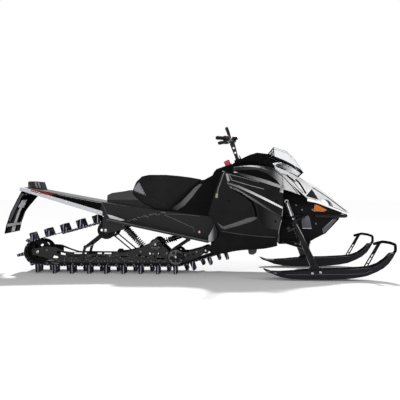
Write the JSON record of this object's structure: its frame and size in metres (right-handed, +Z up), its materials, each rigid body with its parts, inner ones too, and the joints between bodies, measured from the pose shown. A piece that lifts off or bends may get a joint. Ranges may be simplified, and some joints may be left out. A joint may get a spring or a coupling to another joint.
{
  "type": "mountain snowmobile",
  "caption": "Snowmobile with a long lugged track on a slide-rail skid, steered skis on A-arms, seat, handlebar and low windshield.",
  "frame": {"origin": "on the snow, below the middle of the machine's box", "axes": "+X forward, +Y to the rider's left, +Z up"},
  "size_m": [3.3152, 1.092, 1.286],
  "materials": {
    "track_rubber": "matte moulded rubber",
    "wheel_black": "satin moulded plastic with rubber rims",
    "rail_black": "black anodised, semi-gloss",
    "cap_red": "semi-gloss red moulding",
    "slider_plastic": "smooth low-friction plastic",
    "arm_black": "gloss black paint",
    "shock_black": "dark paint over steel",
    "shock_silver": "satin silver body",
    "axle_steel": "plain machined steel",
    "tunnel_black": "satin black coating",
    "bar_silver": "brushed and clear coated",
    "flap_grey": "flexible ribbed moulding",
    "lamp_grey": "satin grey moulding",
    "lens_red": "dark red clear lens",
    "toe_grey": "satin pale moulding",
    "seat_cover": "black grained vinyl and knit",
    "trunk_black": "satin black moulding",
    "console_black": "semi-gloss black moulding",
    "body_black": "gloss black with pale stripes",
    "hood_white": "gloss white",
    "lamp_clear": "clear lens over bright reflector",
    "frame_black": "satin black",
    "engine_grey": "cast surface",
    "screen_clear": "clear with a smoky edge",
    "tube_black": "satin black tube",
    "amber": "amber prismatic reflector",
    "outlet_steel": "heat-stained steel",
    "grip_rubber": "ribbed grip rubber",
    "control_black": "satin moulded plastic",
    "strap_fabric": "woven webbing over a tube",
    "spindle_black": "satin black forging",
    "ski_plastic": "satin moulded plastic",
    "runner_steel": "worn steel with hard tips",
    "loop_black": "satin black tube"
  },
  "bodies": {
    "chassis": {"track": "track_rubber", "idler_wheels": "wheel_black", "slide_rails": "rail_black", "sliders": "slider_plastic", "skid_arms": "arm_black", "skid_shocks": "shock_black", "skid_hangers": "arm_black", "drive_axle": "axle_steel", "tunnel": "tunnel_black", "rear_bumper": "bar_silver", "snow_flap": "flap_grey", "tail_lamp_housing": "lamp_grey", "tail_lamp_lens": "lens_red", "running_boards": "bar_silver", "toe_holds": "toe_grey", "seat": "seat_cover", "seat_trunk": "trunk_black", "console": "console_black", "filler_cap": "cap_red", "belly_pan": "body_black", "side_panels": "body_black", "hood": "hood_white", "dash_pod": "body_black", "nose_cowl": "hood_white", "head_lamps": "lamp_clear", "front_frame": "frame_black", "engine_block": "engine_grey", "a_arms": "arm_black", "ski_shocks": "shock_silver", "tie_rods": "axle_steel", "windshield": "screen_clear", "front_bumper": "tube_black", "side_reflectors": "amber", "exhaust_outlet": "outlet_steel", "steering_bearing": "frame_black"},
    "steering": {"steering_riser": "tube_black", "handlebar": "tube_black", "hand_grips": "grip_rubber", "hand_controls": "control_black", "bar_strap": "strap_fabric"},
    "ski_leg_left": {"spindle_left": "spindle_black", "ski_left": "ski_plastic", "ski_runner_left": "runner_steel", "ski_loop_left": "loop_black"},
    "ski_leg_right": {"spindle_right": "spindle_black", "ski_right": "ski_plastic", "ski_runner_right": "runner_steel", "ski_loop_right": "loop_black"}
  },
  "joints": [
    {"name": "steering", "type": "hinge", "parent": "chassis", "child": "steering", "pos_m": [0.388, 0, 0.95], "axis": [-0.3073, 0, 0.9516], "range_deg": [-36, 36]},
    {"name": "ski_turn_left", "type": "hinge", "parent": "chassis", "child": "ski_leg_left", "pos_m": [1.033, 0.442, 0.075], "axis": [-0.4258, -0.1495, 0.8924], "range_deg": [-30, 30]},
    {"name": "ski_turn_right", "type": "hinge", "parent": "chassis", "child": "ski_leg_right", "pos_m": [1.033, -0.442, 0.075], "axis": [-0.4258, 0.1495, 0.8924], "range_deg": [-30, 30]}
  ],
  "couplings": [
    {"joint": "ski_turn_left", "follows": "steering", "ratio": 0.8},
    {"joint": "ski_turn_right", "follows": "steering", "ratio": 0.8}
  ]
}
